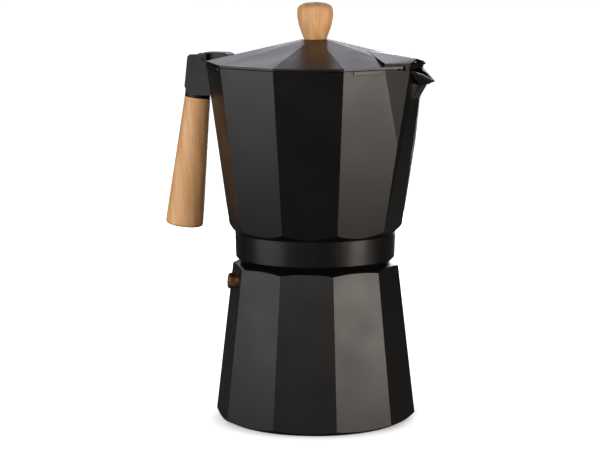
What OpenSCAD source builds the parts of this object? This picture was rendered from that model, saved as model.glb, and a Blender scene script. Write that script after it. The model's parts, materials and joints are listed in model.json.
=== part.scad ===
// Ten-sided moka pot with a wooden grip and knob.
// Millimetres. Z is the pot's axis and the base stands on z = 0.
// The spout points along +X and the handle along -X.

/* [Flats] */
// Number of flats round the body
flats = 10; // [10:2:12]
// Turn of the boiler's flats against the upper vessel's, when screwed tight
boiler_turn = -2.4; // [-6:0.1:6]

/* [Boiler] */
// Height of the flats' top corners
boiler_h = 104.3; // [85:0.1:130]
// Corner radius of the boiler at its foot
boiler_foot_r = 67.7; // [60:0.1:84]
// How far the boiler's top corners stand out past the collar
boiler_step = 2.1; // [1:0.1:5]
// Wall thickness of the boiler
boiler_wall = 3.4; // [2.5:0.1:4]
// Thickness of the boiler's floor
boiler_floor = 4; // [2.5:0.1:6]
// Height of the turned chamfer round the foot
foot_chamfer_h = 3.7; // [1:0.1:6]
// Slope of the turned foot chamfer, from the horizontal
foot_chamfer_angle = 26; // [15:1:60]
// Slope of the turned shoulder, from the horizontal
shoulder_angle = 21; // [10:1:24]

/* [Neck and thread] */
// Radius of the neck at the root of its thread
neck_r = 42.6; // [38:0.1:52]
// Height of the neck's rim above the flats' top corners
neck_h = 15.7; // [14.5:0.1:18]
// Wall thickness of the neck
neck_wall = 5.2; // [4:0.1:6]
// Rise of the thread for each turn
thread_pitch = 3; // [2.5:0.1:3.2]
// Height of the thread's ridge
thread_depth = 1.6; // [1.2:0.1:1.8]
// Turns of thread on the neck
thread_turns = 2.4; // [1.5:0.1:2.6]
// Gap between a ridge's crest and the wall that it faces
thread_gap = 0.8; // [0.6:0.1:1.2]
// Gap between the flanks of the two threads, along the axis
flank_gap = 0.3; // [0.2:0.05:0.5]

/* [Collar] */
// Wall thickness of the collar outside its threaded bore
collar_wall = 8.9; // [7:0.1:12]
// Gap between the boiler's shoulder corner height and the collar's lower edge
collar_lift = 2.6; // [2.4:0.1:4]
// Size of the chamfer round the collar's lower edge
collar_chamfer = 3.5; // [1:0.1:5]
// Draft of the collar's side: how much smaller its lower edge is in radius
collar_draft = 0.5; // [0:0.1:1]
// Height of the collar's top step above the underside of the vessel's floor
collar_step = 1.2; // [0.5:0.1:3]

/* [Upper vessel] */
// How far the corners at the foot of the flats stand out past the collar
vessel_step = 4.2; // [3:0.1:6]
// Corner radius of the vessel at its rim
vessel_rim_r = 73; // [60:0.1:88]
// Height of the vessel's flats
vessel_h = 107.2; // [90:0.1:130]
// Height of the turned chamfer under the flats
vessel_chamfer = 4.2; // [3:0.1:6]
// Wall thickness of the vessel
vessel_wall = 3.2; // [2.4:0.1:4]
// Thickness of the vessel's floor
vessel_floor = 5; // [4:0.1:7]
// Height of the bead round the rim
bead_h = 2; // [1:0.1:3]
// How far the bead stands out of the flats
bead_out = 0.5; // [0.2:0.1:1]
// Height of the shadow groove under the bead
groove_h = 0.6; // [0.3:0.1:1]
// Depth of the shadow groove under the bead
groove_deep = 0.5; // [0.3:0.1:1]

/* [Coffee column] */
// Radius of the column at its foot
column_foot_r = 11; // [9:0.1:14]
// Radius of the column at its top
column_top_r = 8; // [7:0.1:9]
// Height of the column above the vessel's floor
column_h = 76; // [60:0.1:90]
// Radius of the bore up the column
column_bore_r = 4.5; // [3:0.1:5.5]
// Height of the two outlets near the column's top
outlet_h = 9; // [5:0.1:12]
// Width of the two outlets
outlet_w = 5; // [3:0.1:7]

/* [Spout] */
// Depth of the spout's lower corners below the rim
spout_drop = 50.1; // [40:0.1:60]
// How far the front face stands out of its flat at the spout's lower corners
front_bulge = 1.8; // [1:0.1:3]
// How far the spout's side runs on past the corner, along the next flat
spout_wrap = 13.8; // [8:0.1:18]
// Width of the spout's mouth where the lid ends
mouth_w = 28.4; // [22:0.1:34]
// How far the mouth's back corners stand out of the flat
mouth_out = 2; // [1:0.1:4]
// Depth of the mouth's back corners below the rim
mouth_drop = 1.6; // [1:0.1:3]
// Width of the beak where it leaves the spout's front face
root_w = 16; // [12:0.1:20]
// How far the beak's root stands out of the flat
root_out = 1.1; // [0.5:0.1:3]
// Depth of the beak's root below the rim
root_drop = 20.6; // [16:0.1:26]
// Width of the beak at its knee, where it turns outwards
knee_w = 11; // [8:0.1:14]
// How far the beak's knee stands out of the flat
knee_out = 6.9; // [5:0.1:9]
// Depth of the beak's knee below the rim
knee_drop = 12; // [10:0.1:15]
// How far the tip of the lip reaches out of the flat
tip_reach = 13.6; // [11:0.1:18]
// Width of the lip at its tip
tip_w = 4; // [3:0.1:6]
// Depth of the tip below the rim
tip_drop = 8.2; // [6:0.1:9.5]
// Width of the lip half way to its tip
lip_w = 12; // [9:0.1:14]
// Depth of the lip half way to its tip
lip_drop = 4.2; // [3:0.1:6]
// Wall thickness of the spout
spout_wall = 2.2; // [1.6:0.1:3]

/* [Lid] */
// How far the lid's corners stand out past the vessel's rim corners
lid_overhang = 0.2; // [0:0.1:1.5]
// Thickness of the lid's rim edge
lid_edge = 1.4; // [1:0.1:3]
// Gap between the vessel's rim and the lid's rim edge
lid_gap = 0.6; // [0.3:0.1:1.5]
// Slope of the lid's ridges, from the horizontal
lid_angle = 13; // [8:0.5:20]
// Wall thickness of the lid
lid_wall = 2.2; // [1.6:0.1:3]
// Width of the flat ring that is left round the knob's foot
knob_seat_margin = 1.5; // [0.8:0.1:3]
// Depth of the locating skirt below the rim edge
skirt_h = 3.6; // [2:0.1:5]
// Thickness of the locating skirt
skirt_t = 1.6; // [1.2:0.1:2.5]
// Gap between the skirt and the vessel's inner wall
skirt_gap = 1; // [0.6:0.1:2]
// Height of the spout cover's side walls at the rim's neighbouring flat
cover_side_h = 3.8; // [2:0.1:6]
// Height of the spout cover's end at its corners
cover_corner_h = 2.6; // [2:0.1:4]
// Height of the spout cover's end, in the middle
cover_end_h = 5; // [4:0.1:6]
// Thickness of the spout cover
cover_t = 1.2; // [1:0.1:2]
// Thickness of the tab that closes the cover's end
tab_t = 1.4; // [1:0.1:2]
// How far the tab's outer face stands behind the cover's end
tab_inset = 0.5; // [0.3:0.1:1]
// Gap between the tab and the spout's walls
tab_gap = 0.6; // [0.4:0.1:1]

/* [Hinge] */
// Distance of the hinge pin behind the vessel's rear flat
hinge_back = 8; // [7.6:0.1:11]
// Height of the hinge pin above the vessel's rim
hinge_up = 2; // [1:0.1:2.4]
// Radius of the hinge pin
pin_r = 1.5; // [1.2:0.1:2]
// Thickness of the tongue round the pin
knuckle_wall = 3; // [2.4:0.1:3.4]
// Running gap between the pin and the lid's tongue
pin_gap = 0.06; // [0.03:0.01:0.1]
// Width of the lid's hinge tongue
tongue_w = 10; // [8:0.1:12]
// Height of the tongue's top above the rim
tongue_top = 6.6; // [6:0.1:7.5]
// How far the tongue reaches in over the lid
tongue_in = 8.4; // [6:0.1:12]
// Gap on each side of the tongue
tongue_gap = 0.35; // [0.25:0.05:0.6]

/* [Handle bracket] */
// How far each side of the bracket stands out past the top of the grip
bracket_margin = 0.7; // [0.2:0.1:3]
// Thickness of the bracket's top, from the outer face inwards
bracket_t = 14; // [13:0.1:16]
// Height of the bracket's top above the rim
bracket_up = 5.4; // [4.5:0.1:6]
// How far the bracket reaches out behind the vessel's rear flat
bracket_out = 20; // [19:0.1:24]
// Depth of the bracket's lower end below the rim
bracket_drop = 24.4; // [22:0.1:30]
// Radius of the bracket screws' shanks
bracket_screw_r = 2; // [1.5:0.1:2.5]

/* [Grip] */
// Length of the wooden grip
grip_l = 89; // [75:0.1:110]
// Radius of the grip at its top
grip_top_r = 8.8; // [8.5:0.1:9.5]
// Radius of the grip at its foot
grip_foot_r = 13; // [10:0.1:16]
// Outward lean of the grip from the vertical
grip_lean = 7; // [4:0.1:9]
// Radius of the rod through the grip
rod_r = 2.5; // [2:0.1:3]
// Radius of the counterbore at the grip's foot
grip_counterbore_r = 6.5; // [6:0.1:8]
// Depth of the counterbore at the grip's foot
grip_counterbore_h = 9; // [7:0.1:12]

/* [Knob] */
// Height of the wooden knob
knob_h = 24.6; // [20:0.1:32]
// Largest radius of the knob
knob_r = 12; // [10.5:0.1:15]
// Radius of the knob at its foot
knob_foot_r = 7.5; // [6.5:0.1:8.4]
// Wall thickness of the knob's threaded insert
insert_wall = 1.4; // [1.2:0.1:2]
// Length of the knob's threaded insert
insert_l = 11; // [9:0.1:14]
// Radius of the knob screw
knob_screw_r = 2; // [1.6:0.1:2.4]
// Thickness of the lid's solid seat under the knob
lid_seat_t = 6; // [4:0.1:7]
// Thickness of the washer under the lid
knob_washer_t = 1; // [0.8:0.1:1.6]

/* [Funnel and seal] */
// Gap between the coffee basket and the neck's bore
basket_gap = 1.2; // [0.8:0.1:2]
// Depth of the coffee basket
basket_depth = 31; // [25:0.1:36]
// Wall thickness of the funnel
funnel_wall = 0.9; // [0.8:0.1:1.2]
// Thickness of the funnel's flange on the boiler's rim
flange_t = 1; // [0.8:0.1:1.4]
// Radius of the funnel's tube
tube_r = 6; // [5:0.1:7]
// Height of the tube's end above the boiler's floor
tube_lift = 5; // [3:0.1:12]
// Thickness of the gasket
gasket_t = 4; // [3:0.1:5]
// Width of the gasket's band
gasket_band = 6.4; // [5:0.1:7]
// Thickness of the filter plate
plate_t = 1; // [0.8:0.1:1.4]
// Radius of the holes in the filter plate
plate_hole_r = 0.75; // [0.5:0.05:0.9]
// Radius of the holes in the funnel plate
basket_hole_r = 0.85; // [0.6:0.05:1]

/* [Safety valve] */
// Distance of the valve's axis below the flats' top corners
valve_drop = 9.8; // [9.5:0.1:20]
// How far the hexagon's flats stand out past the shank
valve_land = 0.7; // [0.5:0.1:2]
// Height of the hexagon out of the washer
valve_hex_h = 4.2; // [3:0.1:6]
// Radius of the valve's threaded shank
valve_shank_r = 4; // [3.4:0.1:5]
// Wall thickness of the valve round its spring chamber
valve_wall = 1.1; // [0.9:0.1:1.4]
// Radius of the valve's inlet
valve_inlet_r = 1.2; // [0.8:0.1:1.6]
// Thickness of the valve's seat round its inlet
seat_t = 1.4; // [1:0.1:2]
// Thickness of the valve's washer
washer_t = 0.8; // [0.5:0.1:1.2]
// Thickness of the valve's cap
cap_t = 1.2; // [1:0.1:1.6]
// Thickness of the poppet's disc
poppet_disc_t = 1.2; // [1:0.1:1.6]
// Radius of the poppet's stem
poppet_stem_r = 0.9; // [0.7:0.1:1.1]
// Radius of the valve spring's wire
spring_wire_r = 0.32; // [0.25:0.01:0.35]
// Turns of the valve's spring
spring_turns = 5; // [4:1:7]

/* [Hidden] */

$fn = 96;
eps = 0.01;
half = 180 / flats;
// Facets of one turn of thread, and degrees over which each end of it fades out
side_steps = 36;
thread_fade = 40;

// Stack along Z, from the boiler up
neck_top_z = boiler_h + neck_h;
gasket_z = neck_top_z + flange_t;
plate_z = gasket_z + gasket_t;
under_z = plate_z + plate_t;
collar_low_z = boiler_h + collar_lift;
collar_top_z = under_z + collar_step;
side_low_z = collar_top_z + vessel_chamfer;
rim_z = side_low_z + vessel_h;
lid_low_z = rim_z + lid_gap;
lid_rim_z = lid_low_z + lid_edge;

// Radii and slopes that follow from them
bore_r = neck_r + thread_depth + thread_gap;
collar_r = bore_r + collar_wall;
boiler_top_r = collar_r + boiler_step;
vessel_low_r = collar_r + vessel_step;
lid_r = vessel_rim_r + lid_overhang;
knob_seat_r = knob_foot_r + knob_seat_margin;
boiler_taper = (boiler_foot_r - boiler_top_r) / (boiler_h - foot_chamfer_h);
vessel_taper = (vessel_rim_r - vessel_low_r) / vessel_h;
wall_lean = atan(vessel_taper * cos(half));
knob_z = lid_rim_z + (lid_r - knob_seat_r) * tan(lid_angle);
neck_bore_r = neck_r - neck_wall;
rear_x = -vessel_rim_r * cos(half);
front_x = vessel_rim_r * cos(half);
hinge_x = rear_x - hinge_back;
hinge_z = rim_z + hinge_up;
knuckle_r = pin_r + pin_gap + knuckle_wall;
ridge_w = (thread_pitch / 2 - flank_gap) / 2;
thread_z = collar_low_z + 2.6;
thread_in_z = thread_z + thread_pitch / 2;
bead_z = rim_z - bead_h;
groove_z = bead_z - groove_h;

// Where the spout's faces meet, on its +Y side
spout_low_z = rim_z - spout_drop;
spout_low_x = vessel_r(spout_low_z) * cos(half) + front_bulge;
spout_low_y = (vessel_r(spout_low_z) * cos(half) - spout_low_x * cos(2 * half)) / sin(2 * half);
corner_low = [spout_low_x, spout_low_y, spout_low_z];
rim_corner = [vessel_rim_r * cos(half), vessel_rim_r * sin(half), rim_z];
along_next = [cos(2 * half + 90), sin(2 * half + 90), 0];
wrap_corner = rim_corner + spout_wrap * along_next;
mouth_corner = [front_x + mouth_out, mouth_w / 2, rim_z - mouth_drop];
root = [front_x + root_out, root_w / 2, rim_z - root_drop];
knee = [front_x + knee_out, knee_w / 2, rim_z - knee_drop];
lip = [front_x + (mouth_out + tip_reach) / 2, lip_w / 2, rim_z - lip_drop];
tip = [front_x + tip_reach, tip_w / 2, rim_z - tip_drop];

// The lid's spout cover: its ridge, the corners where it leaves the roof, and its end
cover_low_z = lid_low_z - 0.2;
cover_end_x = mouth_corner[0];
cover_back_h = 6.8;
ridge_start_x = 36;
ridge_start_z = lid_rim_z + (lid_r * cos(half) - ridge_start_x) / cos(half) * tan(lid_angle);
cover_back_x = front_x - 19;
cover_back_y = cover_back_x * tan(half);
tab_back_x = cover_end_x - tab_inset - tab_t;

// Safety valve: its own frame has Z out of the boiler's flat, at valve_z
valve_z = boiler_h - valve_drop;
valve_azimuth = 180 + 2 * half + boiler_turn;
valve_tilt = atan(boiler_taper * cos(half));
valve_pad_h = boiler_wall + 2;
valve_hex = 2 * (valve_shank_r + valve_land);
valve_chamber_r = valve_shank_r - valve_wall;
valve_shank_l = valve_pad_h + 1.6;
cap_low = washer_t + valve_hex_h - cap_t;
chamber_low = -valve_shank_l + seat_t;
spring_r = (valve_chamber_r + poppet_stem_r) / 2;
spring_low = chamber_low + poppet_disc_t + spring_wire_r + 0.02;
spring_high = cap_low - spring_wire_r - 0.02;

// Funnel and seal
basket_r = neck_bore_r - basket_gap;
basket_low_z = neck_top_z - basket_depth;
tube_low_z = boiler_floor + tube_lift;
flange_r = neck_r - 1.2;
gasket_r = neck_r - 0.7;
gasket_in_r = gasket_r - gasket_band;
recess_r = gasket_r + 0.3;

// Bracket and grip
bracket_w2 = grip_top_r + bracket_margin;
bracket_w = 2 * bracket_w2;
bracket_out_x = rear_x - bracket_out;
bracket_top_z = rim_z + bracket_up;
bracket_low_z = rim_z - bracket_drop;
screw_zs = [rim_z - 19, rim_z - 9];
screw_head_t = 2;
grip_x = bracket_out_x + 3.2;
grip_top_z = bracket_low_z;
insert_r = knob_screw_r + insert_wall;

function boiler_r(z) = boiler_foot_r - boiler_taper * (z - foot_chamfer_h);
function vessel_r(z) = vessel_low_r + vessel_taper * (z - side_low_z);

// ---- Shared shapes ----

// A cone with flats, its corners half a flat away from +X
module flat_cone(z0, r0, z1, r1) {
  translate([0, 0, z0])
    rotate([0, 0, half])
      cylinder(r1 = r0, r2 = r1, h = z1 - z0, $fn = flats);
}

// An outline turned round the axis with flats, as one shape
module flat_lathe(outline) {
  rotate([0, 0, half])
    rotate_extrude($fn = flats)
      polygon(outline);
}

function fade(a, total) = min(1, max(0.02, min(a, total - a) / thread_fade));

// Points of a thread's ridge: base at base_r, crest depth away (negative for an inner thread)
function ridge_points(base_r, depth, z0, turns) =
  let (n = ceil(turns * side_steps), total = n * 360 / side_steps, outward = depth > 0 ? -1 : 1)
  let (foot = outward * (ridge_w + 0.5), tip = outward * (ridge_w - 0.25))
  [for (i = [0:n])
    let (a = i * 360 / side_steps, z = z0 + thread_pitch * a / 360, r = base_r + depth * fade(a, total))
    for (p = [[base_r, -foot], [r, -tip], [r, tip], [base_r, foot]])
      [p[0] * cos(a), p[0] * sin(a), z + p[1]]];

function tube_faces(rings, sides) = concat(
  [[for (k = [0:sides - 1]) k]],
  [for (i = [0:rings - 2], k = [0:sides - 1])
    [i * sides + k, (i + 1) * sides + k, (i + 1) * sides + (k + 1) % sides, i * sides + (k + 1) % sides]],
  [[for (k = [0:sides - 1]) rings * sides - 1 - k]]);

module thread_ridge(base_r, depth, z0, turns) {
  points = ridge_points(base_r, depth, z0, turns);
  polyhedron(points, tube_faces(len(points) / 4, 4), convexity = 10);
}

// ---- Boiler ----

module boiler_turned() {
  foot_r = boiler_foot_r - foot_chamfer_h / tan(foot_chamfer_angle);
  wide_r = boiler_foot_r + 4;
  shoulder_in_r = collar_r - collar_chamfer - 1;
  rotate_extrude()
    polygon([
      [0, 0],
      [foot_r, 0],
      [wide_r, (wide_r - foot_r) * tan(foot_chamfer_angle)],
      [wide_r, boiler_h - (wide_r - boiler_top_r) * tan(shoulder_angle)],
      [shoulder_in_r, boiler_h + (boiler_top_r - shoulder_in_r) * tan(shoulder_angle)],
      [0, boiler_h + (boiler_top_r - shoulder_in_r) * tan(shoulder_angle)]]);
}

module boiler_hollow() {
  top_z = boiler_h - boiler_wall;
  inset = boiler_wall / cos(half);
  rotate([0, 0, boiler_turn])
    flat_cone(boiler_floor, boiler_r(boiler_floor) - inset, top_z, boiler_r(top_z) - inset);
  translate([0, 0, boiler_floor + 1])
    cylinder(r = neck_bore_r, h = neck_top_z - boiler_floor);
}

module boiler() {
  color([0.09, 0.09, 0.09])
    difference() {
      union() {
        intersection() {
          boiler_turned();
          rotate([0, 0, boiler_turn])
            flat_cone(-1, boiler_r(-1), boiler_h + 4, boiler_r(boiler_h + 4));
        }
        translate([0, 0, boiler_h - boiler_wall - 1])
          cylinder(r = neck_r, h = neck_h + boiler_wall + 1);
        thread_ridge(neck_r - 0.4, thread_depth + 0.4, thread_z, thread_turns);
        intersection() {
          at_valve() translate([0, 0, -valve_pad_h]) cylinder(r = valve_shank_r + 4, h = valve_pad_h - 1);
          rotate([0, 0, boiler_turn])
            flat_cone(boiler_floor, boiler_r(boiler_floor) - 1, boiler_h, boiler_r(boiler_h) - 1);
        }
      }
      difference() {
        boiler_hollow();
        at_valve() translate([0, 0, -valve_pad_h]) cylinder(r = valve_shank_r + 4, h = valve_pad_h + 1);
      }
      at_valve() translate([0, 0, -valve_pad_h - 1]) cylinder(r = valve_shank_r, h = valve_pad_h + 8);
    }
}

// ---- Safety valve ----

module at_valve() {
  rotate([0, 0, valve_azimuth])
    translate([boiler_r(valve_z) * cos(half), 0, valve_z])
      rotate([0, 90 - valve_tilt, 0])
        children();
}

module valve_body() {
  color([0.78, 0.6, 0.3])
    at_valve()
      difference() {
        union() {
          translate([0, 0, washer_t])
            intersection() {
              cylinder(r = valve_hex / 2 / cos(30), h = valve_hex_h, $fn = 6);
              cylinder(r1 = valve_hex / 2 / cos(30) + 2.6, r2 = valve_hex / 2 + 0.1, h = valve_hex_h);
            }
          translate([0, 0, -valve_shank_l])
            cylinder(r = valve_shank_r - 0.05, h = valve_shank_l + washer_t + eps);
        }
        translate([0, 0, chamber_low])
          cylinder(r = valve_chamber_r, h = valve_shank_l + valve_hex_h + 2);
        translate([0, 0, -valve_shank_l - 1])
          cylinder(r = valve_inlet_r, h = seat_t + 2);
        translate([0, 0, cap_low])
          cylinder(r = valve_chamber_r + 0.5, h = cap_t + 1);
      }
}

module valve_washer() {
  color([0.72, 0.4, 0.25])
    at_valve()
      difference() {
        cylinder(r = valve_hex / 2 + 0.3, h = washer_t);
        translate([0, 0, -1])
          cylinder(r = valve_shank_r, h = washer_t + 2);
      }
}

module valve_poppet() {
  color([0.8, 0.8, 0.78])
    at_valve() {
      translate([0, 0, chamber_low])
        cylinder(r = valve_chamber_r - 0.25, h = poppet_disc_t);
      translate([0, 0, chamber_low + poppet_disc_t - eps])
        cylinder(r = poppet_stem_r, h = washer_t + valve_hex_h - chamber_low - poppet_disc_t + 0.7);
    }
}

module valve_spring() {
  spring_steps = 16;
  count = spring_turns * spring_steps;
  points = [for (i = [0:count])
    let (a = i * 360 / spring_steps, z = spring_low + (spring_high - spring_low) * i / count)
    for (k = [0:5])
      let (r = spring_r + spring_wire_r * cos(k * 60))
      [r * cos(a), r * sin(a), z + spring_wire_r * sin(k * 60)]];
  color([0.7, 0.7, 0.72])
    at_valve()
      polyhedron(points, tube_faces(count + 1, 6), convexity = 10);
}

module valve_cap() {
  color([0.78, 0.6, 0.3])
    at_valve()
      translate([0, 0, cap_low])
        difference() {
          cylinder(r = valve_chamber_r + 0.45, h = cap_t);
          translate([0, 0, -1])
            cylinder(r = poppet_stem_r + 0.2, h = cap_t + 2);
        }
}

// ---- Funnel ----

module funnel() {
  cone_h = 5;
  low_z = basket_low_z - cone_h;
  color([0.75, 0.75, 0.77])
    rotate_extrude()
      polygon([
        [tube_r - funnel_wall, tube_low_z],
        [tube_r, tube_low_z],
        [tube_r, low_z - 2],
        [basket_r - 1.5, basket_low_z - 2],
        [basket_r, basket_low_z],
        [basket_r, neck_top_z],
        [flange_r, neck_top_z],
        [flange_r, neck_top_z + flange_t],
        [basket_r - funnel_wall, neck_top_z + flange_t],
        [basket_r - funnel_wall, basket_low_z + 0.4],
        [tube_r + 5, low_z + 0.2],
        [tube_r - funnel_wall, low_z - 1]]);
}

function ring_count(r, spacing) = max(1, floor(2 * PI * r / spacing));

module hole_rings(hole_r, first_r, last_r, spacing, depth) {
  for (r = [first_r:spacing:last_r])
    for (k = [0:ring_count(r, spacing) - 1])
      rotate([0, 0, k * 360 / ring_count(r, spacing)])
        translate([r, 0, 0])
          cylinder(r = hole_r, h = depth, $fn = 16);
}

module funnel_plate() {
  color([0.8, 0.8, 0.82])
    translate([0, 0, basket_low_z + 0.6])
      difference() {
        cylinder(r = basket_r - funnel_wall - 0.1, h = 1);
        translate([0, 0, -1])
          hole_rings(basket_hole_r, 5, basket_r - 6, 5, 3);
      }
}

// ---- Gasket and filter plate ----

module gasket() {
  color([0.88, 0.87, 0.83])
    translate([0, 0, gasket_z])
      difference() {
        cylinder(r = gasket_r, h = gasket_t);
        translate([0, 0, -1])
          cylinder(r = gasket_in_r, h = gasket_t + 2);
      }
}

module filter_plate() {
  dish_r = gasket_in_r - 0.4;
  dish_h = gasket_t - 0.6;
  color([0.8, 0.8, 0.82])
    difference() {
      union() {
        translate([0, 0, plate_z])
          cylinder(r = gasket_r, h = plate_t);
        translate([0, 0, plate_z - dish_h])
          cylinder(r = dish_r, h = dish_h + eps);
      }
      translate([0, 0, plate_z - dish_h + plate_t])
        cylinder(r = dish_r - plate_t, h = dish_h + plate_t);
      translate([0, 0, plate_z - dish_h - 1])
        hole_rings(plate_hole_r, 5, dish_r - 4, 5, plate_t + 2);
    }
}

// ---- Upper vessel ----

module vessel_turned() {
  rotate_extrude()
    polygon([
      [0, collar_top_z - eps],
      [collar_r - 0.6, collar_top_z - eps],
      [vessel_low_r, side_low_z],
      [vessel_low_r + vessel_chamfer * 3, side_low_z + vessel_chamfer * 3],
      [vessel_rim_r + 12, rim_z + 1],
      [0, rim_z + 1]]);
}

module collar() {
  low_r = collar_r - collar_draft;
  rotate_extrude()
    polygon([
      [0, collar_low_z],
      [low_r - collar_chamfer, collar_low_z],
      [low_r, collar_low_z + collar_chamfer],
      [collar_r, collar_top_z - 0.4],
      [collar_r - 0.4, collar_top_z],
      [0, collar_top_z]]);
}

// Mirror image of a point on the spout's or cover's +Y side, and a list of both
function across(p) = [p[0], -p[1], p[2]];
function both(points) = concat(points, [for (p = points) across(p)]);

// Corners of the flats at a height, leaving out the first and last few next to +X
function flat_corners(z, left_out) = [for (i = [left_out:flats - 1 - left_out])
  let (a = half + i * 2 * half)
  [vessel_r(z) * cos(a), vessel_r(z) * sin(a), z]];

module point_hull(points) {
  hull()
    polyhedron(points, [[for (i = [0:len(points) - 1]) i]]);
}

// The flats, with the spout's sides cutting off the two front corners below the rim
module vessel_flats() {
  low_z = collar_top_z - 1;
  point_hull(concat(
    flat_corners(low_z, 0),
    flat_corners(rim_z, 1),
    both([corner_low, wrap_corner, mouth_corner, root])));
}

module beak_outer() {
  tip_t = 1.1;
  point_hull(both([
    root,
    knee,
    [root[0] - 4, root[1], root[2] + 2],
    [mouth_corner[0] - 4, knee[1] + 2, mouth_corner[2] - 4],
    [knee[0] - 1, knee[1] + 0.5, knee[2] + 4]]));
  point_hull(both([
    mouth_corner,
    [mouth_corner[0] - 3, mouth_corner[1] - 3, mouth_corner[2] - 2],
    lip,
    tip,
    [tip[0] - 0.3, tip[1], tip[2] - tip_t],
    knee,
    [knee[0] - 5, knee[1], knee[2]]]));
}

module spout_channel() {
  high = 20;
  wrap = [wrap_corner[0] - 2 * spout_wall, wrap_corner[1] - spout_wall, rim_z + high];
  low = [corner_low[0] - 2 * spout_wall, corner_low[1] - 2 * spout_wall, spout_low_z + 9];
  mouth = [mouth_corner[0] - 2, mouth_corner[1] - 1.3 * spout_wall, rim_z + high];
  root_in = [root[0] - 1.3 * spout_wall, root[1] - 1.3 * spout_wall, root[2] + 2];
  point_hull(both([
    low,
    [low[0] - 20, low[1], low[2]],
    wrap,
    [wrap[0] - 20, wrap[1], wrap[2]],
    mouth,
    [mouth[0], mouth[1], mouth_corner[2] - 4],
    root_in,
    [root_in[0], root_in[1], rim_z + high]]));
}

module beak_channel() {
  high = 20;
  thin = 0.7 * spout_wall;
  back = [mouth_corner[0] - 3, mouth_corner[1] - 1.5 * spout_wall, rim_z + high];
  lip_in = [lip[0] - 1, lip[1] - thin, rim_z + high];
  tip_in = [tip[0] - thin, 0.3 * tip_w / 2, rim_z + high];
  point_hull(both([
    back,
    [back[0], back[1], mouth_corner[2] - 1.5],
    lip_in,
    [lip_in[0], lip_in[1], lip[2] - 0.8],
    tip_in,
    [tip_in[0], tip_in[1], tip[2] + 0.2],
    [knee[0] - 1.2, knee[1] - 1.2 * thin, knee[2] + 2.4],
    [root[0] - 2, root[1] - 2 * thin, root[2] + 5]]));
}

module vessel_hollow() {
  inset = vessel_wall / cos(half);
  low_z = under_z + vessel_floor;
  low_r = min(vessel_r(low_z) - inset, collar_r + (low_z - collar_top_z) - inset);
  mid_z = side_low_z + 6;
  flat_cone(low_z, low_r - 2, mid_z + eps, vessel_r(mid_z) - inset);
  flat_cone(mid_z, vessel_r(mid_z) - inset, rim_z + 2, vessel_r(rim_z + 2) - inset);
}

// The part of the rim behind the spout's sides and clear of the lid's tab, as a plan outline
module behind_spout(z0, z1) {
  inset = [0.45, 0, 0];
  run = mouth_corner - wrap_corner;
  end_x = tab_back_x - tab_gap;
  far = wrap_corner - run - inset;
  near = wrap_corner + run * (end_x - wrap_corner[0]) / run[0] - inset;
  translate([0, 0, z0])
    linear_extrude(z1 - z0)
      polygon([
        [-2 * vessel_rim_r, -far[1]],
        [far[0], -far[1]],
        [near[0], -near[1]],
        [near[0], near[1]],
        [far[0], far[1]],
        [-2 * vessel_rim_r, far[1]]]);
}

module bead() {
  top_z = rim_z - 0.02;
  intersection() {
    flat_lathe([
      [vessel_r(bead_z) - 2, bead_z],
      [vessel_rim_r + bead_out, bead_z],
      [vessel_rim_r + bead_out, top_z],
      [vessel_r(bead_z) - 2, top_z]]);
    behind_spout(bead_z - 1, rim_z + 1);
  }
}

module groove() {
  intersection() {
    flat_lathe([
      [vessel_r(groove_z) - groove_deep, groove_z],
      [vessel_rim_r + 3, groove_z],
      [vessel_rim_r + 3, bead_z],
      [vessel_r(bead_z) - groove_deep, bead_z]]);
    behind_spout(groove_z - 1, bead_z + 1);
  }
}

module column() {
  low_z = under_z + vessel_floor - eps;
  translate([0, 0, low_z])
    rotate_extrude()
      polygon([
        [0, 0],
        [column_foot_r + 5, 0],
        [column_foot_r, 5],
        [column_top_r, column_h - 4],
        [column_top_r - 3, column_h],
        [0, column_h]]);
}

module column_bores() {
  top_z = under_z + vessel_floor + column_h;
  translate([0, 0, under_z - 1])
    cylinder(r = column_bore_r, h = vessel_floor + column_h - 5);
  translate([-outlet_w / 2, -column_foot_r - 1, top_z - 6 - outlet_h])
    cube([outlet_w, 2 * column_foot_r + 2, outlet_h]);
}

module vessel() {
  color([0.09, 0.09, 0.09])
    difference() {
      union() {
        difference() {
          union() {
            intersection() {
              vessel_turned();
              vessel_flats();
            }
            beak_outer();
            bead();
          }
          groove();
          vessel_hollow();
          spout_channel();
          beak_channel();
        }
        column();
        collar();
      }
      column_bores();
      translate([0, 0, under_z - 10])
        cylinder(r = recess_r, h = 10);
      translate([0, 0, collar_low_z - 1])
        cylinder(r = bore_r, h = neck_top_z + 0.8 - collar_low_z + 1);
      bracket_screw_holes();
    }
  color([0.09, 0.09, 0.09])
    thread_ridge(bore_r + 0.4, -thread_depth - 0.4, thread_in_z, thread_turns);
}

// ---- Handle bracket, fixed to the rear flat ----

// Frame of a screw: Z points out of the rear flat, away from the pot
module at_bracket_screw(z) {
  rotate([0, 0, 180])
    translate([vessel_r(z) * cos(half), 0, z])
      rotate([0, 90 + wall_lean, 0])
        children();
}

module bracket_screw_holes() {
  for (z = screw_zs)
    at_bracket_screw(z)
      translate([0, 0, -8])
        cylinder(r = bracket_screw_r + 0.05, h = 20);
}

// Frame of the grip: Z points up along the grip's axis, its origin on the bracket's lower face
module at_grip() {
  translate([grip_x, 0, grip_top_z])
    rotate([0, grip_lean, 0])
      children();
}

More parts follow.
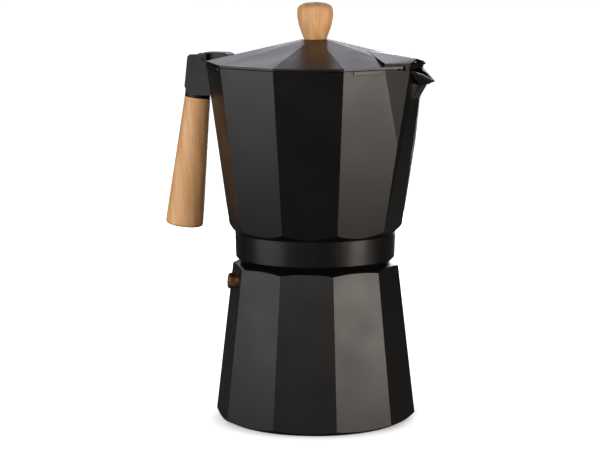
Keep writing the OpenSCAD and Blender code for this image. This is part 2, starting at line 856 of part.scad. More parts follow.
module bracket_profile() {
  polygon([
    [bracket_out_x, bracket_top_z - 1.8],
    [bracket_out_x + 1.5, bracket_top_z - 0.4],
    [bracket_out_x + bracket_t, bracket_top_z],
    [bracket_out_x + bracket_t, rim_z - 3],
    [rear_x + 4, rim_z - 3],
    [rear_x + 4, bracket_low_z + 3],
    [rear_x - 4, bracket_low_z + 2],
    [rear_x - 8, bracket_low_z + 2],
    [bracket_out_x + 0.5, bracket_low_z + 2],
    [bracket_out_x - 0.8, bracket_low_z + 4],
    [bracket_out_x - 2.3, bracket_low_z + 8]]);
}

module bracket_slot() {
  w = tongue_w + 2 * tongue_gap;
  translate([hinge_x, 0, hinge_z])
    rotate([90, 0, 0])
      translate([0, 0, -w / 2])
        linear_extrude(w) {
          circle(r = knuckle_r + 2);
          translate([-knuckle_r - 2, 0])
            square([40, 20]);
          translate([-bracket_out, 2.2])
            square([40, 20]);
          translate([0, -knuckle_r - 2])
            square([hinge_back + 1, 20]);
        }
}

module handle_bracket() {
  color([0.12, 0.12, 0.12])
    difference() {
      union() {
        rotate([90, 0, 0])
          translate([0, 0, -bracket_w2])
            linear_extrude(bracket_w)
              bracket_profile();
        at_grip()
          cylinder(r = grip_top_r, h = 9);
      }
      bracket_slot();
      flat_cone(side_low_z, vessel_low_r, rim_z, vessel_rim_r);
      flat_cone(rim_z - bead_h, vessel_rim_r + bead_out, rim_z + 30, vessel_rim_r + bead_out + 3);
      at_grip()
        translate([0, 0, -20])
          cylinder(r = 30, h = 20);
      translate([hinge_x, bracket_w, hinge_z])
        rotate([90, 0, 0])
          cylinder(r = pin_r + 0.01, h = 2 * bracket_w);
      for (z = screw_zs)
        at_bracket_screw(z)
          translate([0, 0, -8])
            cylinder(r = bracket_screw_r + 0.05, h = 17);
      at_grip()
        translate([0, 0, -1])
          cylinder(r = rod_r + 0.05, h = 12);
    }
}

module bracket_screws() {
  color([0.75, 0.75, 0.77])
    for (z = screw_zs)
      at_bracket_screw(z) {
        translate([0, 0, -vessel_wall - screw_head_t])
          cylinder(r = bracket_screw_r * 1.9, h = screw_head_t);
        translate([0, 0, -vessel_wall - 0.5])
          cylinder(r = bracket_screw_r, h = vessel_wall + 8.5);
      }
}

module hinge_pin() {
  color([0.75, 0.75, 0.77])
    translate([hinge_x, bracket_w2 - 0.4, hinge_z])
      rotate([90, 0, 0])
        cylinder(r = pin_r, h = bracket_w - 0.8);
}

// ---- Grip ----

module grip() {
  edge = 2;
  color([0.86, 0.66, 0.48])
    at_grip()
      difference() {
        rotate_extrude() {
          polygon([
            [0, 0],
            [grip_top_r, 0],
            [grip_foot_r, -grip_l + edge],
            [grip_foot_r - edge * 0.3, -grip_l + edge * 0.3],
            [grip_foot_r - edge, -grip_l],
            [0, -grip_l]]);
        }
        translate([0, 0, -grip_l - 1])
          cylinder(r = rod_r + 0.3, h = grip_l + 2);
        translate([0, 0, -grip_l - 1])
          cylinder(r = grip_counterbore_r, h = grip_counterbore_h + 1);
      }
}

module grip_rod() {
  color([0.75, 0.75, 0.77])
    at_grip()
      translate([0, 0, -grip_l + 3])
        cylinder(r = rod_r, h = grip_l + 7);
}

module grip_washer() {
  color([0.75, 0.75, 0.77])
    at_grip()
      translate([0, 0, -grip_l + grip_counterbore_h - 1])
        difference() {
          cylinder(r = grip_counterbore_r - 0.3, h = 1);
          translate([0, 0, -1])
            cylinder(r = rod_r + 0.2, h = 3);
        }
}

module grip_nut() {
  nut_h = 4.2;
  color([0.75, 0.75, 0.77])
    at_grip()
      translate([0, 0, -grip_l + grip_counterbore_h - 1 - nut_h])
        difference() {
          cylinder(r = rod_r * 1.9, h = nut_h, $fn = 6);
          translate([0, 0, -1])
            cylinder(r = rod_r + 0.02, h = nut_h + 2);
        }
}

// ---- Lid ----

module lid_body() {
  flat_lathe([
    [0, lid_low_z],
    [lid_r, lid_low_z],
    [lid_r, lid_rim_z],
    [knob_seat_r, knob_z],
    [0, knob_z]]);
}

module lid_hollow() {
  rim_w = 6;
  in_r = lid_r - rim_w;
  drop = lid_wall / cos(lid_angle);
  flat_lathe([
    [0, lid_low_z - 1],
    [in_r, lid_low_z - 1],
    [in_r, lid_rim_z + rim_w * tan(lid_angle) - drop],
    [knob_seat_r, knob_z - drop],
    [0, knob_z - drop]]);
}

function cover_top(drop, inset, end_out) = both([
  [ridge_start_x, 0, ridge_start_z - drop],
  [cover_back_x, cover_back_y - inset, lid_low_z + cover_back_h - drop],
  [wrap_corner[0] - inset, wrap_corner[1] - inset, lid_low_z + cover_side_h - drop],
  [cover_end_x + end_out, mouth_corner[1] - inset, lid_low_z + cover_corner_h - drop],
  [cover_end_x + end_out, 0, lid_low_z + cover_end_h - drop]]);

module spout_cover() {
  top = cover_top(0, 0, 0);
  point_hull(concat(top, [for (p = top) [p[0], p[1], cover_low_z]]));
}

module spout_cover_hollow() {
  top = cover_top(cover_t, 1.3 * cover_t, 1);
  point_hull(concat(top, [for (p = top) [p[0], p[1], cover_low_z - 5]]));
}

module lid_tongue() {
  in_x = rear_x + tongue_in;
  top_z = rim_z + tongue_top;
  difference() {
    translate([0, tongue_w / 2, 0])
      rotate([90, 0, 0])
        linear_extrude(tongue_w)
          difference() {
            union() {
              translate([hinge_x, hinge_z])
                circle(r = knuckle_r);
              polygon([
                [hinge_x, hinge_z + knuckle_r],
                [hinge_x + 5, top_z],
                [in_x - 3, top_z],
                [in_x, top_z - 1.2],
                [in_x, lid_low_z + 0.3],
                [rear_x - 3, lid_low_z + 0.3],
                [hinge_x, lid_low_z - 3]]);
            }
            translate([hinge_x, hinge_z])
              circle(r = pin_r + pin_gap);
          }
  }
}

module lid_skirt() {
  out_r = vessel_rim_r - (vessel_wall + skirt_gap) / cos(half);
  in_r = out_r - skirt_t / cos(half);
  low_z = lid_low_z - skirt_h;
  difference() {
    flat_cone(low_z, out_r, lid_low_z + 1.2, out_r);
    flat_cone(low_z - 1, in_r, lid_low_z + 2, in_r);
    translate([0, -mouth_w / 2, low_z - 1])
      cube([lid_r, mouth_w, 20]);
  }
}

// The tab that closes most of the cover's open end, above the spout's walls
module cover_tab() {
  low_z = mouth_corner[2] + tab_gap;
  top = cover_top(0.1, 0.3, -0.3);
  intersection() {
    point_hull(concat(top, [for (p = top) [p[0], p[1], low_z - 1]]));
    translate([tab_back_x, -mouth_w, low_z])
      cube([tab_t, 2 * mouth_w, lid_low_z + cover_corner_h - 0.3 - low_z]);
  }
}

module lid() {
  color([0.11, 0.11, 0.11])
    difference() {
      union() {
        lid_body();
        spout_cover();
        lid_tongue();
      }
      difference() {
        union() {
          lid_hollow();
          spout_cover_hollow();
        }
        translate([0, 0, knob_z - 6])
          cylinder(r = knob_screw_r + 4.5, h = 8);
      }
      translate([0, 0, knob_z - 12])
        cylinder(r = knob_screw_r + 0.3, h = 14);
    }
  color([0.11, 0.11, 0.11])
    lid_skirt();
  color([0.11, 0.11, 0.11])
    cover_tab();
}

// ---- Knob ----

// An outline with its corners cut back once, so two rounds of it give an even curve
function eased(p) = concat(
  [p[0]],
  [for (i = [0:len(p) - 2]) for (t = [0.25, 0.75]) p[i] * (1 - t) + p[i + 1] * t],
  [p[len(p) - 1]]);

function knob_outline() = [
  [knob_foot_r, 0],
  [knob_foot_r + (knob_r - knob_foot_r) * 0.42, knob_h * 0.2],
  [knob_foot_r + (knob_r - knob_foot_r) * 0.78, knob_h * 0.38],
  [knob_r, knob_h * 0.6],
  [knob_r, knob_h * 0.78],
  [knob_r - 0.6, knob_h * 0.87],
  [knob_r * 0.78, knob_h * 0.94],
  [knob_r * 0.45, knob_h * 0.985],
  [0, knob_h]];

module knob() {
  color([0.86, 0.66, 0.47])
    translate([0, 0, knob_z])
      difference() {
        rotate_extrude()
          polygon(concat([[0, 0]], eased(eased(knob_outline()))));
        translate([0, 0, -1])
          cylinder(r = insert_r, h = insert_l + 1.5);
      }
}

module knob_insert() {
  color([0.78, 0.6, 0.3])
    translate([0, 0, knob_z])
      difference() {
        cylinder(r = insert_r, h = insert_l);
        translate([0, 0, -1])
          cylinder(r = knob_screw_r + 0.02, h = insert_l + 2);
      }
}

module knob_screw() {
  head_t = 2.4;
  color([0.75, 0.75, 0.77])
    translate([0, 0, knob_z - lid_seat_t - knob_washer_t]) {
      translate([0, 0, -head_t])
        cylinder(r = knob_screw_r * 1.9, h = head_t);
      translate([0, 0, -eps])
        cylinder(r = knob_screw_r, h = lid_seat_t + knob_washer_t + insert_l - 1.5);
    }
}

module knob_washer() {
  color([0.75, 0.75, 0.77])
    translate([0, 0, knob_z - lid_seat_t - knob_washer_t])
      difference() {
        cylinder(r = knob_screw_r + 3, h = knob_washer_t);
        translate([0, 0, -1])
          cylinder(r = knob_screw_r + 0.2, h = knob_washer_t + 2);
      }
}

boiler();
valve_body();
valve_washer();
valve_poppet();
valve_spring();
valve_cap();
funnel();
funnel_plate();
gasket();
filter_plate();
vessel();
handle_bracket();
bracket_screws();
hinge_pin();
lid();
knob();
knob_insert();
knob_screw();
knob_washer();
grip();
grip_rod();
grip_washer();
grip_nut();
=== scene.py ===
# %% [markdown]
# # A ten-sided moka pot
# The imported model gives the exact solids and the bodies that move. This script gives them their looks:
# coatings, wood, brass and steel, and the small roundings and details that a finished pot has.

# %% The frame
import json
import math

import bmesh
import bpy
from mathutils import Matrix, Vector

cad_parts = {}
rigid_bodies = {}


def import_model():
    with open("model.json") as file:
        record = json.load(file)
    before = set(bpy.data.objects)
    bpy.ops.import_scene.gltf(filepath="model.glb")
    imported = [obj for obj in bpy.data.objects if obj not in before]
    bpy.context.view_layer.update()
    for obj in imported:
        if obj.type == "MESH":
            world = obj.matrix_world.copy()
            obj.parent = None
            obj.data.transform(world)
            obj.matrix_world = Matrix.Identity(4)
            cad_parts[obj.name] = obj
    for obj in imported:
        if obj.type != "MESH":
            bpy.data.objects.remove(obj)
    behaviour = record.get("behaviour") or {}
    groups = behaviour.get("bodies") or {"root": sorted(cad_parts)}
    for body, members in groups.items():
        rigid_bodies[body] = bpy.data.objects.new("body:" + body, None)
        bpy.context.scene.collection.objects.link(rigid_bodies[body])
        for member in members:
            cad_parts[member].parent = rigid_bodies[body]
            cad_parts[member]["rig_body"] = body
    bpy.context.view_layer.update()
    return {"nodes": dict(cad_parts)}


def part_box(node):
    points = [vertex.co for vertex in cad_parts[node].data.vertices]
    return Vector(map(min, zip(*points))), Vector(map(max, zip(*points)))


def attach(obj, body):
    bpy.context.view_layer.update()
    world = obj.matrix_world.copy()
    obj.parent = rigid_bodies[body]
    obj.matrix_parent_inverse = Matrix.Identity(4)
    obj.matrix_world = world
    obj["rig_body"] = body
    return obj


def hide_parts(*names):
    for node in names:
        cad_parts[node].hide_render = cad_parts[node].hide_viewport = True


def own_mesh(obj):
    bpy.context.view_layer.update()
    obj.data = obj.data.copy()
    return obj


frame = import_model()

MM = 0.001
nodes = frame["nodes"]
scene = bpy.context.scene
print("CAD nodes:", len(nodes))

# %% [markdown]
# ## Camera
# A long lens a metre and a half away keeps the flats' edges nearly parallel, as in catalogue pictures.
# It stands to the right of the pot's front, and a little above the rim, so the lid's top shows.

# %% Camera
CAMERA_DISTANCE = 1419.5 * MM
CAMERA_HEIGHT = 339.5 * MM
CAMERA_PITCH = math.radians(8.37)
CAMERA_AZIMUTH = math.radians(21.70)

camera_data = bpy.data.cameras.new("camera")
camera_data.lens = 128.05
camera_data.sensor_width = 36
camera_data.shift_x = -0.0255
camera_data.clip_start, camera_data.clip_end = 0.05, 50
camera = bpy.data.objects.new("camera", camera_data)
camera.location = (
    CAMERA_DISTANCE * math.sin(CAMERA_AZIMUTH),
    -CAMERA_DISTANCE * math.cos(CAMERA_AZIMUTH),
    CAMERA_HEIGHT,
)
camera.rotation_euler = (math.pi / 2 - CAMERA_PITCH, 0, CAMERA_AZIMUTH)
scene.collection.objects.link(camera)
scene.camera = camera
print("camera at", [round(c, 3) for c in camera.location])

# %% [markdown]
# ## Helpers for materials
# Colours are written as sRGB hex and turned linear once, here. One function adds any node with its
# settings and its links, so each material reads as a list of what its surface is made of.


# %% Colour and node helpers
def linear(hex_colour):
    """sRGB hex to the linear values that shaders use."""
    channels = [int(hex_colour[i : i + 2], 16) / 255 for i in (1, 3, 5)]
    return [c / 12.92 if c <= 0.04045 else ((c + 0.055) / 1.055) ** 2.4 for c in channels] + [1.0]


def add(tree, kind, links=None, values=None, **settings):
    """Adds a node: settings are its properties, values its sockets' constants, links its inputs."""
    node = tree.nodes.new(kind)
    for key, value in settings.items():
        setattr(node, key, value)
    for key, value in (values or {}).items():
        node.inputs[key].default_value = value
    for key, source in (links or {}).items():
        tree.links.new(source, node.inputs[key])
    return node


def new_material(name, **constants):
    """A Principled material with constants on its own sockets. Returns it, its tree and its shader."""
    material = bpy.data.materials.new(name)
    material.use_nodes = True
    tree = material.node_tree
    shader = tree.nodes["Principled BSDF"]
    for key, value in constants.items():
        shader.inputs[key.replace("_", " ")].default_value = value
    return material, tree, shader


def ramp(tree, source, stops):
    """A colour ramp with (position, colour) stops, colours as linear lists."""
    node = add(tree, "ShaderNodeValToRGB", {"Fac": source})
    while len(node.color_ramp.elements) < len(stops):
        node.color_ramp.elements.new(0.5)
    for element, (position, colour) in zip(node.color_ramp.elements, stops):
        element.position = position
        element.color = colour
    return node.outputs["Color"]


# %% [markdown]
# ## The black coating
# The pot is gravity-cast aluminium with a baked matte coating. The coating follows the casting's fine
# grain, so the surface is never a perfect mirror: the grain spreads each highlight, and very slight
# changes of roughness show as soft clouds. Grit of about 0.5 mm would be too fine to show at this size,
# so it is drawn at about 0.9 mm.


# %% Coated cast aluminium
def coated_metal(name, colour, roughness, gloss, grit_mm=0.9, bump_mm=0.045, cloud_mm=24):
    material, tree, shader = new_material(name, IOR=1.5, Specular_IOR_Level=gloss)
    place = add(tree, "ShaderNodeTexCoord").outputs["Object"]
    grit = add(
        tree,
        "ShaderNodeTexNoise",
        {"Vector": place},
        {"Scale": 1 / (grit_mm * MM), "Detail": 3.0, "Roughness": 0.6},
    ).outputs["Fac"]
    clouds = add(
        tree,
        "ShaderNodeTexNoise",
        {"Vector": place},
        {"Scale": 1 / (cloud_mm * MM), "Detail": 4.0, "Roughness": 0.55},
    ).outputs["Fac"]
    dark, light = linear(colour), [c * 1.35 for c in linear(colour)[:3]] + [1.0]
    tree.links.new(ramp(tree, grit, [(0.35, dark), (0.75, light)]), shader.inputs["Base Color"])
    rough = add(
        tree,
        "ShaderNodeMapRange",
        {"Value": clouds},
        {"From Min": 0.3, "From Max": 0.7, "To Min": roughness - 0.03, "To Max": roughness + 0.04},
    )
    tree.links.new(rough.outputs["Result"], shader.inputs["Roughness"])
    bump = add(tree, "ShaderNodeBump", {"Height": grit}, {"Strength": 0.7, "Distance": bump_mm * MM})
    tree.links.new(bump.outputs["Normal"], shader.inputs["Normal"])
    return material


black_coating = coated_metal("baked_black_coating_on_cast_aluminium", "#070606", 0.36, 0.38)
bracket_coating = coated_metal("satin_black_paint_on_steel", "#0b0b0b", 0.42, 0.3, grit_mm=0.7)

# %% [markdown]
# ## Beech
# The grip and knob are turned from beech: a pale, even, slightly pink wood. Its growth layers show as
# soft bands along the length, and its rays as short darker flecks, about half a millimetre wide and a few
# long. It is oiled, not varnished, so it has only a low sheen.


# %% Turned beech
def beech(name, lean_degrees=0.0):
    material, tree, shader = new_material(name, Roughness=0.48, IOR=1.5)
    place = add(tree, "ShaderNodeTexCoord").outputs["Object"]
    turned = add(
        tree,
        "ShaderNodeMapping",
        {"Vector": place},
        {"Rotation": (0, math.radians(lean_degrees), 0)},
        vector_type="TEXTURE",
    ).outputs["Vector"]

    def streaks(width_mm, length_mm, detail=3.0):
        """Noise stretched along the grain."""
        scaled = add(
            tree,
            "ShaderNodeVectorMath",
            {0: turned},
            {1: (1 / (width_mm * MM), 1 / (width_mm * MM), 1 / (length_mm * MM))},
            operation="MULTIPLY",
        ).outputs["Vector"]
        return add(
            tree, "ShaderNodeTexNoise", {"Vector": scaled}, {"Scale": 1.0, "Detail": detail}
        ).outputs["Fac"]

    bands = ramp(
        tree,
        streaks(4.0, 160.0),
        [(0.32, linear("#e0a46e")), (0.5, linear("#edb47c")), (0.68, linear("#f7c590"))],
    )
    flecks = ramp(
        tree, streaks(0.55, 6.0, 2.0), [(0.58, (0, 0, 0, 1)), (0.8, (0.7, 0.7, 0.7, 1))]
    )
    mixed = add(
        tree,
        "ShaderNodeMix",
        {"Factor": flecks, "A": bands},
        {"B": linear("#c68a58")},
        data_type="RGBA",
    )
    tree.links.new(mixed.outputs["Result"], shader.inputs["Base Color"])
    bump = add(
        tree, "ShaderNodeBump", {"Height": streaks(0.6, 9.0)}, {"Strength": 0.25, "Distance": 0.05 * MM}
    )
    tree.links.new(bump.outputs["Normal"], shader.inputs["Normal"])
    return material


# %% [markdown]
# ## Bare metals and silicone
# Brass, copper, zinc-plated and blackened steel, and spun aluminium differ in colour and in how they were
# made: turned, stamped, rolled or spun. Each tool leaves faint marks, so a fine noise varies the colour
# and the roughness a little, and a reflection is never quite even. The gasket is white silicone, moulded
# and matte, with a faint haze.


# %% Bare metals
def bare_metal(name, colour, roughness, mark_mm=1.2):
    material, tree, shader = new_material(name, Metallic=1.0)
    place = add(tree, "ShaderNodeTexCoord").outputs["Object"]
    marks = add(
        tree, "ShaderNodeTexNoise", {"Vector": place}, {"Scale": 1 / (mark_mm * MM), "Detail": 4.0}
    ).outputs["Fac"]
    worn = [c * 0.82 for c in linear(colour)[:3]] + [1.0]
    tree.links.new(ramp(tree, marks, [(0.3, worn), (0.6, linear(colour))]), shader.inputs["Base Color"])
    rough = add(
        tree,
        "ShaderNodeMapRange",
        {"Value": marks},
        {"To Min": roughness - 0.06, "To Max": roughness + 0.08},
    )
    tree.links.new(rough.outputs["Result"], shader.inputs["Roughness"])
    return material


brass = bare_metal("turned_brass", "#d9b06a", 0.28)
zinc_steel = bare_metal("zinc_plated_steel", "#b9bcc0", 0.34)
spun_aluminium = bare_metal("spun_aluminium", "#c9cbcd", 0.36, 2.0)
copper = bare_metal("soft_copper", "#c47f5a", 0.4)
blackened_steel = bare_metal("blackened_steel", "#2e2d2d", 0.5)


# %% Silicone
def silicone_rubber():
    material, tree, shader = new_material("white_silicone", Roughness=0.6, IOR=1.41)
    place = add(tree, "ShaderNodeTexCoord").outputs["Object"]
    haze = add(tree, "ShaderNodeTexNoise", {"Vector": place}, {"Scale": 1 / (3 * MM)}).outputs["Fac"]
    colours = [(0.3, linear("#d8d4c8")), (0.7, linear("#e8e5da"))]
    tree.links.new(ramp(tree, haze, colours), shader.inputs["Base Color"])
    return material


silicone = silicone_rubber()

# %% Which surface each part has
# The grip's grain follows its lean, in degrees
GRIP_LEAN = 7.0
grip_wood = beech("oiled_beech_grip", -GRIP_LEAN)
knob_wood = beech("oiled_beech_knob")

SURFACES = {
    "boiler": black_coating,
    "vessel": black_coating,
    "lid": black_coating,
    "handle_bracket": bracket_coating,
    "valve_body": brass,
    "valve_cap": brass,
    "valve_washer": copper,
    "valve_poppet": zinc_steel,
    "valve_spring": zinc_steel,
    "funnel": spun_aluminium,
    "funnel_plate": spun_aluminium,
    "filter_plate": spun_aluminium,
    "gasket": silicone,
    "bracket_screws": zinc_steel,
    "hinge_pin": blackened_steel,
    "knob": knob_wood,
    "knob_insert": brass,
    "knob_screw": zinc_steel,
    "knob_washer": zinc_steel,
    "grip": grip_wood,
    "grip_rod": zinc_steel,
    "grip_washer": zinc_steel,
    "grip_nut": zinc_steel,
}


def paint(piece, material):
    piece.data.materials.clear()
    piece.data.materials.append(material)
    for face in piece.data.polygons:
        face.material_index = 0


for node_name, material in SURFACES.items():
    paint(nodes[node_name], material)
print("materials on", len(SURFACES), "nodes")

# %% [markdown]
# ## Rounded edges
# A cast and coated edge is never sharp: it has a radius of about half a millimetre, and that radius is
# what catches the light along each flat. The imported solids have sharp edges, so each visible piece gets a
# copy with its outer edges bevelled. The copy is merged first, and only edges that turn enough, and that
# a person would see, are bevelled, so the thread and the bores keep their exact form.


# %% Bevelled copies
# Points nearer than this are one; faces that turn less are one flat; edges that turn more stay sharp
MERGE_MM, FLAT_DEGREES, SHARP_DEGREES = 0.002, 0.6, 24


def turns(edge, degrees, crease_degrees=5, broad=150 * MM * MM):
    """True for a corner that turns enough, and for a shallower crease between two broad flat faces."""
    if len(edge.link_faces) != 2:
        return False
    angle = math.degrees(edge.calc_face_angle(0))
    broad_sides = all(f.calc_area() > broad for f in edge.link_faces)
    return angle > degrees or (angle > crease_degrees and broad_sides)


def rounded_copy(node_name, radius_mm, keep_edge, turn_degrees=18, segments=3):
    """A merged copy of a CAD node whose edges that turn more than turn_degrees get a small radius."""
    source = nodes[node_name]
    mesh = bpy.data.meshes.new(node_name + "_finished")
    bm = bmesh.new()
    bm.from_mesh(source.data)
    bmesh.ops.remove_doubles(bm, verts=bm.verts, dist=MERGE_MM * MM)
    bmesh.ops.dissolve_limit(
        bm, angle_limit=math.radians(FLAT_DEGREES), verts=bm.verts, edges=bm.edges, delimit=set()
    )
    chosen = [e for e in bm.edges if turns(e, turn_degrees) and keep_edge(e)]
    bmesh.ops.bevel(
        bm,
        geom=chosen,
        offset=radius_mm * MM,
        offset_type="OFFSET",
        segments=segments,
        profile=0.5,
        affect="EDGES",
        clamp_overlap=True,
    )
    for face in bm.faces:
        face.smooth = True
    for edge in bm.edges:
        edge.smooth = not turns(edge, SHARP_DEGREES)
    bm.to_mesh(mesh)
    bm.free()
    piece = bpy.data.objects.new(node_name + "_finished", mesh)
    scene.collection.objects.link(piece)
    flat_shading = piece.modifiers.new("flat_faces", "WEIGHTED_NORMAL")
    flat_shading.keep_sharp = True
    paint(piece, SURFACES[node_name])
    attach(piece, source["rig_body"])
    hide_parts(node_name)
    print(node_name, "bevelled edges:", len(chosen), "faces:", len(mesh.polygons))
    return piece


def middle(edge):
    return (edge.verts[0].co + edge.verts[1].co) / 2


def radius_at(point):
    return math.hypot(point.x, point.y)


# The thread and the bores lie inside this radius, the outer edges outside it
THREAD_CLEAR_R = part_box("gasket")[1].x + 5 * MM
rounded_copy("boiler", 0.5, lambda e: radius_at(middle(e)) > THREAD_CLEAR_R)
rounded_copy("vessel", 0.5, lambda e: radius_at(middle(e)) > THREAD_CLEAR_R)
rounded_copy("lid", 0.4, lambda e: True)
rounded_copy("handle_bracket", 0.8, lambda e: True)

# %% [markdown]
# ## Small parts by Geometry Nodes
# Two kinds of part repeat or follow a rule. The safety valve's spring is a wire wound round an axis: a
# Spiral curve with a round profile is exactly that. The filter and funnel plates are punched, and each
# punch leaves a low burr round its hole: one ring, placed on the points of several circles, makes them
# all. Both trees take their sizes as named inputs, so the same tree serves both plates.


# %% Node group helpers
def new_tree(name, inputs):
    """A geometry tree with named number inputs. Returns it and its input and output nodes."""
    tree = bpy.data.node_groups.new(name, "GeometryNodeTree")
    tree.interface.new_socket("Geometry", in_out="OUTPUT", socket_type="NodeSocketGeometry")
    for label, kind in inputs:
        tree.interface.new_socket(label, in_out="INPUT", socket_type=kind)
    return tree, add(tree, "NodeGroupInput").outputs, add(tree, "NodeGroupOutput")


def grown(name, tree, values, place):
    """Runs a tree with its inputs set, and returns the result as a plain mesh object at the origin."""
    holder = bpy.data.objects.new(name + "_tree", bpy.data.meshes.new(name + "_tree"))
    scene.collection.objects.link(holder)
    modifier = holder.modifiers.new("shape", "NODES")
    modifier.node_group = tree
    for item in tree.interface.items_tree:
        if item.in_out == "INPUT" and item.name in values:
            modifier[item.identifier] = values[item.name]
    evaluated = holder.evaluated_get(bpy.context.evaluated_depsgraph_get())
    mesh = bpy.data.meshes.new_from_object(evaluated)
    mesh.name = name
    mesh.transform(place)
    bpy.data.objects.remove(holder)
    piece = bpy.data.objects.new(name, mesh)
    scene.collection.objects.link(piece)
    print(name, "faces:", len(mesh.polygons))
    return piece


def finished(tree, output, geometry, material):
    """Ends a tree with real geometry and its material."""
    real = add(tree, "GeometryNodeRealizeInstances", {"Geometry": geometry}).outputs["Geometry"]
    coated = add(tree, "GeometryNodeSetMaterial", {"Geometry": real}, {"Material": material})
    tree.links.new(coated.outputs["Geometry"], output.inputs["Geometry"])


# %% [markdown]
# ## The valve's spring
# The spring pushes the poppet onto its seat, inside the brass body. Its ends are fixed by the chamber and
# the cap, so as the poppet lifts, the spring is squeezed towards the cap.



# %% The wound wire
FLOAT = "NodeSocketFloat"


def spring_tree():
    tree, given, output = new_tree(
        "wound_wire",
        [("Turns", FLOAT), ("Coil radius", FLOAT), ("Length", FLOAT), ("Wire radius", FLOAT)],
    )
    coil = add(
        tree,
        "GeometryNodeCurveSpiral",
        {
            "Rotations": given["Turns"],
            "Start Radius": given["Coil radius"],
            "End Radius": given["Coil radius"],
            "Height": given["Length"],
        },
        {"Resolution": 32},
    ).outputs["Curve"]
    wire = add(
        tree, "GeometryNodeCurvePrimitiveCircle", {"Radius": given["Wire radius"]}, {"Resolution": 12}
    ).outputs["Curve"]
    solid = add(
        tree, "GeometryNodeCurveToMesh", {"Curve": coil, "Profile Curve": wire}, {"Fill Caps": True}
    ).outputs["Mesh"]
    finished(tree, output, solid, zinc_steel)
    return tree


# %% The spring in its valve
SPRING_WIRE_R = 0.32 * MM
SPRING_TURNS = 5.0


def valve_axis():
    """The valve's outward direction and centre, from where its cap and its washer lie."""
    cap = [Vector(v.co) for v in nodes["valve_cap"].data.vertices]
    washer = [Vector(v.co) for v in nodes["valve_washer"].data.vertices]
    cap_centre = sum(cap, Vector()) / len(cap)
    washer_centre = sum(washer, Vector()) / len(washer)
    return cap_centre, (cap_centre - washer_centre).normalized()


cap_centre, outward = valve_axis()
coil_points = [Vector(v.co) for v in nodes["valve_spring"].data.vertices]
along = [(p - cap_centre).dot(outward) for p in coil_points]
spring_low, spring_high = min(along), max(along)
full_length = spring_high - spring_low
coil_r = max(((p - cap_centre) - outward * a).length for p, a in zip(coil_points, along)) - SPRING_WIRE_R
turned_out = outward.to_track_quat("Z", "Y").to_matrix().to_4x4()
spring_place = Matrix.Translation(cap_centre + outward * (spring_low + SPRING_WIRE_R)) @ turned_out
valve_wire = grown(
    "valve_spring_wire",
    spring_tree(),
    {
        "Turns": SPRING_TURNS,
        "Coil radius": coil_r,
        "Length": full_length - 2 * SPRING_WIRE_R,
        "Wire radius": SPRING_WIRE_R,
    },
    spring_place,
)
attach(valve_wire, nodes["valve_spring"]["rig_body"])
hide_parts("valve_spring")
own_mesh(valve_wire)

# %% [markdown]
# ## Punched holes
# A punch pushes the sheet down round each hole and leaves a low rounded burr. The holes lie on circles
# that are one spacing apart, with as many holes on each circle as the spacing allows. The tree works
# that out, puts one small ring on every point, and gives the same pattern as the holes themselves.


# %% Burrs round the punched holes
def burr_tree(rings):
    tree, given, output = new_tree(
        "punched_burrs",
        [("First ring radius", FLOAT), ("Spacing", FLOAT), ("Hole radius", FLOAT), ("Burr radius", FLOAT)],
    )

    def math_node(operation, *sources):
        node = add(tree, "ShaderNodeMath", operation=operation)
        for socket, source in zip(node.inputs, sources):
            if isinstance(source, (int, float)):
                socket.default_value = source
            else:
                tree.links.new(source, socket)
        return node.outputs["Value"]

    burr_ring_r = math_node("ADD", given["Hole radius"], given["Burr radius"])
    path = add(
        tree, "GeometryNodeCurvePrimitiveCircle", {"Radius": burr_ring_r}, {"Resolution": 12}
    ).outputs["Curve"]
    section = add(
        tree, "GeometryNodeCurvePrimitiveCircle", {"Radius": given["Burr radius"]}, {"Resolution": 4}
    ).outputs["Curve"]
    burr = add(
        tree, "GeometryNodeCurveToMesh", {"Curve": path, "Profile Curve": section}
    ).outputs["Mesh"]
    joined = add(tree, "GeometryNodeJoinGeometry")
    for i in range(rings):
        ring_r = math_node(
            "ADD", given["First ring radius"], math_node("MULTIPLY", given["Spacing"], float(i))
        )
        around = math_node("MULTIPLY", ring_r, 2 * math.pi)
        count = math_node("FLOOR", math_node("DIVIDE", around, given["Spacing"]))
        points = add(
            tree, "GeometryNodeMeshCircle", {"Radius": ring_r, "Vertices": count}
        ).outputs["Mesh"]
        placed = add(
            tree, "GeometryNodeInstanceOnPoints", {"Points": points, "Instance": burr}
        ).outputs["Instances"]
        tree.links.new(placed, joined.inputs["Geometry"])
    finished(tree, output, joined.outputs["Geometry"], spun_aluminium)
    return tree


# %% Burrs on the two plates
FIRST_RING = 5 * MM
SPACING = 5 * MM
BURR_R = 0.12 * MM
FILTER_HOLE_R, FUNNEL_HOLE_R = 0.75 * MM, 0.85 * MM
# Widths of the gasket's band and of the funnel's wall, and the gaps beside them
GASKET_BAND, DISH_GAP = 6.4 * MM, 0.4 * MM
FUNNEL_WALL, PLATE_GAP = 0.9 * MM, 0.1 * MM
# The holes stop this far inside the dish and inside the basket
DISH_MARGIN, BASKET_MARGIN = 4 * MM, 6 * MM


def punched_burrs(node_name, hole_r, last_ring, z):
    """Burrs for one plate, on its punched side at height z."""
    almost = 1e-6
    rings = int((last_ring - FIRST_RING) / SPACING + almost) + 1
    sizes = {
        "First ring radius": FIRST_RING,
        "Spacing": SPACING,
        "Hole radius": hole_r,
        "Burr radius": BURR_R,
    }
    burrs = grown(node_name + "_burrs", burr_tree(rings), sizes, Matrix.Translation((0, 0, z)))
    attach(burrs, nodes[node_name]["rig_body"])


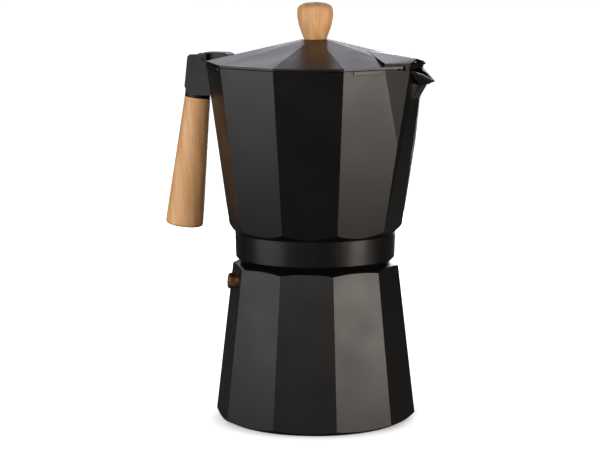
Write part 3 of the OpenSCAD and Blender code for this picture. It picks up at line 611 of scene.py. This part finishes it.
dish_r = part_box("gasket")[1].x - GASKET_BAND - DISH_GAP
punched_burrs("filter_plate", FILTER_HOLE_R, dish_r - DISH_MARGIN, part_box("filter_plate")[0].z)
basket_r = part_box("funnel_plate")[1].x + FUNNEL_WALL + PLATE_GAP
punched_burrs("funnel_plate", FUNNEL_HOLE_R, basket_r - BASKET_MARGIN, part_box("funnel_plate")[1].z)

# %% [markdown]
# ## Room and light
# The camera sees a plain pale floor and a white surround, with a painted soft shadow where the pot stands:
# the floor glows white, and its glow fades out near the pot.
# Everything else sees them much darker, because a black coating shows only what it reflects: a white room
# would turn it grey. Each light is a soft box that one group of flats reflects, so each flat gets its own
# tone, and the flat that faces the camera, with little to reflect, stays deep black.


# %% Floor
def make_floor(size=12.0, painted_shadow_radius=0.048, white_radius=0.086):
    """A pale floor that glows white, the glow fading out near the pot's edge: a painted soft shadow over
    the lamps' own shading.
    """
    bpy.ops.mesh.primitive_plane_add(size=size, location=(0, 0, 0))
    floor = bpy.context.object
    floor.name = "floor"
    material, tree, shader = new_material("pale_floor", Roughness=0.9)
    seen = add(tree, "ShaderNodeLightPath").outputs["Is Camera Ray"]
    colour = add(
        tree,
        "ShaderNodeMix",
        {"Factor": seen},
        {"A": linear("#505050"), "B": linear("#fbfbfb")},
        data_type="RGBA",
    )
    tree.links.new(colour.outputs["Result"], shader.inputs["Base Color"])
    place = add(tree, "ShaderNodeTexCoord").outputs["Object"]
    distance = add(tree, "ShaderNodeVectorMath", {0: place}, operation="LENGTH").outputs["Value"]
    # Painted shadow: the floor's emitted glow is nil near the pot and reaches full white a little further
    # out, so the floor darkens towards the pot whatever the lamps do.
    glow = add(
        tree,
        "ShaderNodeMapRange",
        {"Value": distance},
        {"From Min": painted_shadow_radius, "From Max": white_radius},
    ).outputs["Result"]
    glow_seen = add(tree, "ShaderNodeMath", {0: glow, 1: seen}, operation="MULTIPLY").outputs["Value"]
    tree.links.new(glow_seen, shader.inputs["Emission Strength"])
    shader.inputs["Emission Color"].default_value = (1, 1, 1, 1)
    paint(floor, material)
    print("floor:", size, "m wide, contact shadow out to", white_radius, "m")


make_floor()


# %% Lights
POT_MIDDLE = Vector((0, 0, 0.14))


def soft_light(name, azimuth, elevation, distance, size, power, colour="#ffffff"):
    """A soft box that looks at the pot's middle. Azimuth in degrees from +X; power in watts."""
    data = bpy.data.lights.new(name, "AREA")
    data.shape = "RECTANGLE"
    data.size, data.size_y = size
    data.energy = power
    data.color = linear(colour)[:3]
    light = bpy.data.objects.new(name, data)
    a, e = math.radians(azimuth), math.radians(elevation)
    light.location = POT_MIDDLE + distance * Vector(
        (math.cos(a) * math.cos(e), math.sin(a) * math.cos(e), math.sin(e))
    )
    light.rotation_euler = (light.location - POT_MIDDLE).to_track_quat("Z", "Y").to_euler()
    scene.collection.objects.link(light)


soft_light("right_softbox", -8, 0, 0.7, (0.28, 0.34), 3.1, "#fff4e8")
soft_light("left_softbox", -134, 0, 0.7, (0.56, 0.34), 2.0)
soft_light("front_fill", -84, 22, 1.6, (0.6, 0.6), 10, "#fffaf4")
soft_light("back_strip", 112, 24, 2.2, (2.0, 0.42), 8.6, "#f6f4ff")
soft_light("rear_softbox", 102, 4, 1.0, (0.5, 0.4), 4.5)
print("lights:", len(bpy.data.lights))

# %% Surround
# The share of the white surround that the pot itself sees
SURROUND_FILL = 0.07
world = bpy.data.worlds.new("studio")
world.use_nodes = True
scene.world = world
surround = world.node_tree.nodes["Background"]
path = add(world.node_tree, "ShaderNodeLightPath")
strength = add(
    world.node_tree,
    "ShaderNodeMapRange",
    {"Value": path.outputs["Is Camera Ray"]},
    {"To Min": SURROUND_FILL, "To Max": 1.0},
)
world.node_tree.links.new(strength.outputs["Result"], surround.inputs["Strength"])
surround.inputs["Color"].default_value = (1, 1, 1, 1)
scene.view_settings.view_transform = "Standard"
